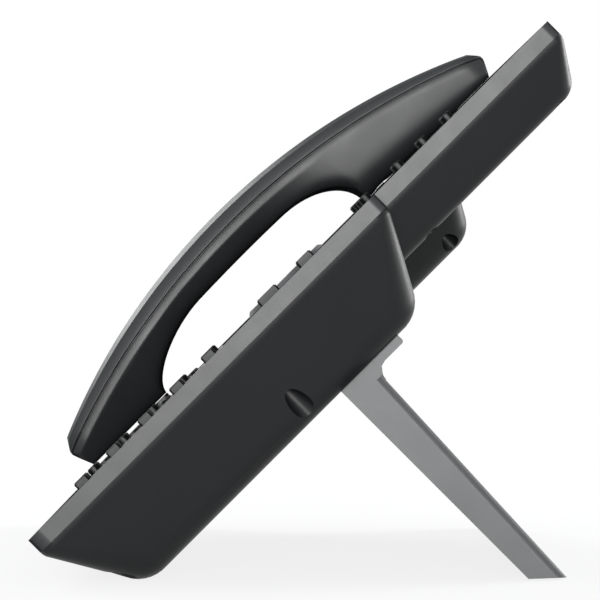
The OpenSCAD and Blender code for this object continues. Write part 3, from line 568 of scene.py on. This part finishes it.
def back_section(y):
    """Back shell: rebate at the seam, leaning side and a bevelled crown with a crisp edge."""
    h, low, high = half_width(y), seam(y) + SEAM_HALF, over(y)
    depth = high - low
    r = min(CROWN_R, depth - CROWN_FLAT) if depth > 2 * CROWN_FLAT else depth / 2
    e = min(SHELL_EDGE, depth * 0.2)
    k = 0.293 * r
    side = [(h - e, low), (h - 0.3 * e, low + 0.3 * e), (h, low + e), (h, high - r),
            (h - k, high - k), (h - 0.9 * r, high - 0.04 * r), (h - r, high)]
    rebate = lap(h - REBATE_IN - e, low, min(REBATE_UP, depth * 0.4))
    return rebate + side + [(-x, z) for x, z in reversed(side)]


def flank(y):
    """Lean of the side below its upright strip, in degrees, and how late it turns under."""
    ear = min(max((y - EAR_FROM) / EAR_OVER, 0), 1)
    ear = ear * ear * (3 - 2 * ear)
    into_grip = min(y - MOUTH_END, EAR_END - GRIP_SHORT - y) / GRIP_FADE
    turn = lerp(lerp(TURN_MOUTH, TURN_EAR, ear), TURN_GRIP, min(max(into_grip, 0), 1))
    return lerp(LEAN_MOUTH, LEAN_EAR, ear), turn


def front_section(y):
    """Front shell: upright strip below the seam, then a side that leans in and rolls under."""
    h, low, high = half_width(y), under(y), seam(y) - SEAM_HALF
    depth = high - low
    strip = min(STRIP, 0.3 * depth)
    e = min(SHELL_EDGE, 0.3 * strip)
    lean, turn = flank(y)
    angles = [math.radians(lean + (90 - lean) * (i / TURN_STEPS) ** turn)
              for i in range(TURN_STEPS + 1)]
    length = (depth - strip) / sum(math.cos(a) for a in angles)
    x, z = h, high - strip
    half = [(h - e, high), (h - 0.3 * e, high - 0.3 * e), (h, high - e),
            (h, z + 0.15 * strip), (x, z)]
    for a in angles:
        x -= length * math.sin(a)
        z -= length * math.cos(a)
        half.append((x, z))
    tongue = lap(h - TONGUE_IN - e, high, min(TONGUE_UP, depth * 0.4))
    return [(-x, z) for x, z in half] + half[::-1] + tongue[::-1]


def loft(name, ys, section):
    """Closed skin through one section for each station."""
    bm = bmesh.new()
    rings = []
    for y in ys:
        ring = [FACE @ Vector((HANDSET_X + x, y, z)) for x, z in section(y)]
        rings.append([bm.verts.new(p) for p in ring])
    n = len(rings[0])
    for a, b in zip(rings, rings[1:]):
        for i in range(n):
            j = (i + 1) % n
            bm.faces.new((a[i], a[j], b[j], b[i]))
    bm.faces.new(rings[0][::-1])
    bm.faces.new(rings[-1])
    return closed_object(bm, name)


def arc(x, z, r, start, n):
    angles = [math.radians(start + 90 * i / n) for i in range(n + 1)]
    return [(x + r * math.cos(a), z + r * math.sin(a)) for a in angles]


def rounded_slab(name, cx, cy, w, h, r, z0, z1, n):
    """Plate with round corners, drawn on the face between two heights."""
    bm = bmesh.new()
    pts = []
    for sx, sy, start in ((1, 1, 0), (-1, 1, 90), (-1, -1, 180), (1, -1, 270)):
        corner = arc(sx * (w / 2 - r), sy * (h / 2 - r), r, start, n)
        pts += [(cx + x, cy + y) for x, y in corner]
    low = [bm.verts.new(FACE @ Vector((x, y, z0))) for x, y in pts]
    high = [bm.verts.new(FACE @ Vector((x, y, z1))) for x, y in pts]
    bm.faces.new(low[::-1])
    bm.faces.new(high)
    for i in range(len(pts)):
        j = (i + 1) % len(pts)
        bm.faces.new((low[i], low[j], high[j], high[i]))
    return closed_object(bm, name)


def boolean(ob, tool, operation="DIFFERENCE"):
    mod = ob.modifiers.new("cut", "BOOLEAN")
    mod.operation = operation
    mod.solver = "EXACT"
    mod.object = tool
    apply_modifiers(ob)
    bpy.data.objects.remove(tool)


def add_ear_rim(front):
    """Low round boss that carries the earpiece's slots."""
    rim = rounded_slab("rim", HANDSET_X, EAR_HOLES_Y, EAR_RIM, EAR_RIM, EAR_RIM / 2, -0.8, 2.0, 16)
    mod = rim.modifiers.new("edge", "BEVEL")
    mod.width = 0.5 * MM
    mod.segments = 3
    mod.limit_method = "ANGLE"
    apply_modifiers(rim)
    boolean(front, rim, "UNION")


def cut_handset(front):
    """Slots of the earpiece, the microphone's slot and the mouth of the cord's socket."""
    for i in range(-2, 3):
        w = HOLE_LONG if i % 2 == 0 else HOLE_SHORT
        y = EAR_HOLES_Y + HOLE_PITCH * i
        boolean(front, rounded_slab("slot", HANDSET_X, y, w, HOLE_W, HOLE_R, -3, 2.5, 5))
    mic = rounded_slab("slot", HANDSET_X, LOW + MIC_UP, MIC_HOLE, HOLE_W, HOLE_R, 0, 6, 5)
    boolean(front, mic)
    jack = rounded_slab("jack", HANDSET_X, LOW + JACK_UP, JACK_W, JACK_LENGTH, JACK_R, 4.5, 11, 4)
    boolean(front, jack)


def make_handset():
    ys = stations()
    back = loft("handset_back_shell", ys, back_section)
    smooth(back, 32)
    give(back, "handset", "handset_back", MATS["handset_back"], "handset_back")
    front = loft("handset_front_shell", ys, front_section)
    add_ear_rim(front)
    cut_handset(front)
    smooth(front, 32)
    give(front, "handset", "handset_front", MATS["handset_front"], "handset_front")


# ---- keys ----

KEY_STARTS = ("key_", "function_key", "side_key", "soft_key", "line_key")
BELOW_KEYS = ("key_mat", "key_board")
DIGITS = {"key_1": (-1, 3, "1"), "key_2": (0, 3, "2"), "key_3": (1, 3, "3"),
          "key_4": (-1, 2, "4"), "key_5": (0, 2, "5"), "key_6": (1, 2, "6"),
          "key_7": (-1, 1, "7"), "key_8": (0, 1, "8"), "key_9": (1, 1, "9"),
          "key_star": (-1, 0, "*"), "key_0": (0, 0, "0"), "key_hash": (1, 0, "#")}
DIGIT_X, DIGIT_PITCH, DIGIT_Z, DIGIT_SIZE = -12, 21, 1.0, 5.6
STAR_DOWN = 0.9
WALL_SLOPE = 0.35  # a key's faces that turn further than this up or down the phone are walls, which get the painted shade


def text_mark(name, char, x, y, body):
    """Flat printed character on a key."""
    curve = bpy.data.curves.new(name, "FONT")
    curve.body = char
    curve.size = DIGIT_SIZE
    curve.align_x = curve.align_y = "CENTER"
    curve.extrude = 0.02
    curve.resolution_u = 6
    tmp = add_object(name + "_tmp", curve)
    dg = bpy.context.evaluated_depsgraph_get()
    mesh = bpy.data.meshes.new_from_object(tmp.evaluated_get(dg))
    bpy.data.objects.remove(tmp)
    mesh.transform(FACE @ Matrix.Translation((x, y, DIGIT_Z)))
    return give(add_object(name, mesh), body, "key", MATS["mark"])


def shade_walls(ob):
    """Painted shade: a darker, duller copy of the key plastic on the faces that look up or down
    the phone, between the rows of keys.
    """
    ob.data.materials.append(MATS["key_wall"])
    up = (FACE.to_3x3() @ Vector((0, 1, 0))).normalized()
    for poly in ob.data.polygons:
        if abs(poly.normal.dot(up)) > WALL_SLOPE:
            poly.material_index = 1


def make_keys():
    for name in frame["nodes"]:
        if name.startswith(KEY_STARTS) and name not in BELOW_KEYS:
            shade_walls(dress(name, name + "_body", "key", 0.28, 3, 30))
    for name, (col, row, char) in DIGITS.items():
        x = DIGIT_X + DIGIT_PITCH * col
        y = FIRST_ROW + ROW_PITCH * row - (STAR_DOWN if char == "*" else 0)
        text_mark(name + "_digit", char, x, y, name + "_body")


# ---- case and stand ----

RIM, RIM_DROP = 5.2, 0.24  # depth of the front case's lower rim, and how far it is drawn down
STAND_Y, LEG_TOP, LEG_FOOT = 102.4, 12.5, 8.5  # the leg's front face, and its thickness
HEAD_LOW, LEG_END = -39.6, -131.03  # heights of the head plate's lower face and the leg's end
LEG_EDGE, LEG_OUT = 3.4, 0.5  # the leg's rear edges lie within 3.4 of its rear face
HEAD_START, HEAD_RUN, HEAD_DOWN = 0.6, 3, 0.4
BELOW_HEAD, HEAD_EDGE, RIM_NEAR = 1, 1.1, 0.06
POCKET_X, POCKET_LOW, POCKET_HIGH = 102.1, -120.0, -41.0


def close_seam(mesh):
    """Draws the front case's lower rim down until it nearly meets the rear case."""
    for v in mesh.vertices:
        p = TO_FACE @ v.co
        if abs(p.z + RIM) < RIM_NEAR:
            v.co = FACE @ Vector((p.x, p.y, p.z - RIM_DROP))


def at_rim(edge):
    return all((TO_FACE @ v.co).z < -RIM - RIM_DROP / 2 for v in edge.verts)


def thicken_stand(mesh):
    """Moves the leg's rear face out and the head plate's lower face down, by half a millimetre."""
    for v in mesh.vertices:
        p = TO_FACE @ v.co
        down = min(max((HEAD_LOW - p.z) / (HEAD_LOW - LEG_END), 0), 1)
        rear = STAND_Y + lerp(LEG_TOP, LEG_FOOT, down)
        if p.z < HEAD_LOW - BELOW_HEAD and p.y > rear - LEG_EDGE:
            p.y += LEG_OUT
        if p.z < HEAD_LOW + HEAD_EDGE and p.y > rear + HEAD_START:
            p.z -= HEAD_DOWN * min((p.y - rear - HEAD_START) / HEAD_RUN, 1)
        v.co = FACE @ p


def in_pocket(edge):
    """The stand's pockets keep sharp edges: the leg's rounding runs too close for a bevel."""
    ends = [TO_FACE @ v.co for v in edge.verts]
    return all(abs(p.x) < POCKET_X and POCKET_LOW < p.z < POCKET_HIGH for p in ends)


def make_case():
    dress("front_case", "body", "case_front", 0.45, 3, 40, skip=at_rim, reshape=close_seam)
    dress("rear_case", "body", "case_rear", 0.2, 2, 40)
    dress("stand", "stand_leg", "stand", 0.45, 3, 40, skip=in_pocket, reshape=thicken_stand)
    dress("nav_ring", "nav", "nav", 0.25, 3, 30)
    dress("select_key", "select", "key", 0.3, 3, 30)
    dress("hook_lever", "hook", "key", 0.3, 3, 30)
    dress("front_feet", "body", "rubber", 0.3, 2, 40)
    dress("stand_pad", "stand_leg", "rubber", 0.3, 2, 40)


def finish_nodes():
    """Procedural finish on every CAD node that is still shown."""
    slots = {s["node"]: s["material_slot"] for s in frame["record"]["subparts"]}
    for name, ob in frame["nodes"].items():
        set_material(ob, MATS[slots[name]])


# ---- studio ----

FLOOR_HALF = 30.0
FLOOR_GREY = (0.86, 0.86, 0.86, 1)
GLOW_NEAR, NEAR, FAR = 0.84, 0.12, 0.6  # share of plain white near the phone; distances in metres
SKY, SKY_STRENGTH = (0.9, 0.95, 1), 0.35
AIM = (0, 0, 0.09)


def seen_directly(nt):
    """1 for camera, mirror and glass rays, 0 for the light that falls on things."""
    path = node(nt, "ShaderNodeLightPath").outputs
    a = maths(nt, "MAXIMUM", path["Is Camera Ray"], path["Is Glossy Ray"])
    return maths(nt, "MAXIMUM", a, path["Is Transmission Ray"])


def background(nt, colour, strength):
    n = node(nt, "ShaderNodeBackground")
    n.inputs["Color"].default_value = (*colour, 1)
    n.inputs["Strength"].default_value = strength
    return n.outputs[0]


def make_world():
    """White where it is seen, and a dim cool sky for the light."""
    world = bpy.data.worlds.new("studio")
    bpy.context.scene.world = world
    world.use_nodes = True
    nt = world.node_tree
    nt.nodes.clear()
    out = node(nt, "ShaderNodeOutputWorld")
    sky = background(nt, SKY, SKY_STRENGTH)
    white = background(nt, (1, 1, 1), 1.0)
    nt.links.new(mix_shaders(nt, seen_directly(nt), sky, white), out.inputs["Surface"])


def floor_material():
    """Pale floor that keeps the phone's shadow near it and is plain white further out."""
    mat, nt, out = new_material("floor_white")
    far = node(nt, "ShaderNodeVectorMath", operation="LENGTH")
    nt.links.new(object_coord(nt), far.inputs[0])
    lit = node(nt, "ShaderNodeBsdfDiffuse")
    lit.inputs["Color"].default_value = FLOOR_GREY
    glow = node(nt, "ShaderNodeEmission")
    glow.inputs["Color"].default_value = (1, 1, 1, 1)
    glow.inputs["Strength"].default_value = 1.0
    share = spread(nt, far.outputs["Value"], GLOW_NEAR, 1, NEAR, FAR)
    shown = mix_shaders(nt, share, lit.outputs[0], glow.outputs[0])
    nt.links.new(mix_shaders(nt, seen_directly(nt), lit.outputs[0], shown), out.inputs["Surface"])
    return mat


def make_floor():
    bm = bmesh.new()
    bmesh.ops.create_grid(bm, x_segments=2, y_segments=2, size=FLOOR_HALF)
    floor = object_from(bm, "floor")
    set_material(floor, floor_material())


def soft_box(name, place, width, height, radiance):
    """Rectangular lamp aimed at the phone; its power follows from its area and radiance."""
    data = bpy.data.lights.new(name, "AREA")
    data.shape = "RECTANGLE"
    data.size = width
    data.size_y = height
    data.energy = radiance * math.pi * width * height
    ob = add_object(name, data)
    ob.location = place
    ob.rotation_euler = (Vector(AIM) - Vector(place)).to_track_quat("-Z", "Y").to_euler()


def make_lamps():
    soft_box("key_soft", (2.0, -0.02, 0.16), 1.1, 1.1, 13)
    soft_box("face_soft", (0.1, -1.3, 1.2), 1.2, 1.0, 1.2)
    soft_box("back_soft", (-0.75, 1.35, 0.5), 1.0, 0.8, 12)
    soft_box("left_soft", (-1.2, -1.0, 0.8), 0.8, 0.6, 12)


make_camera()
make_materials()
finish_nodes()
make_handset()
make_keys()
make_case()
make_world()
make_floor()
make_lamps()
bpy.context.scene.view_settings.view_transform = "Standard"
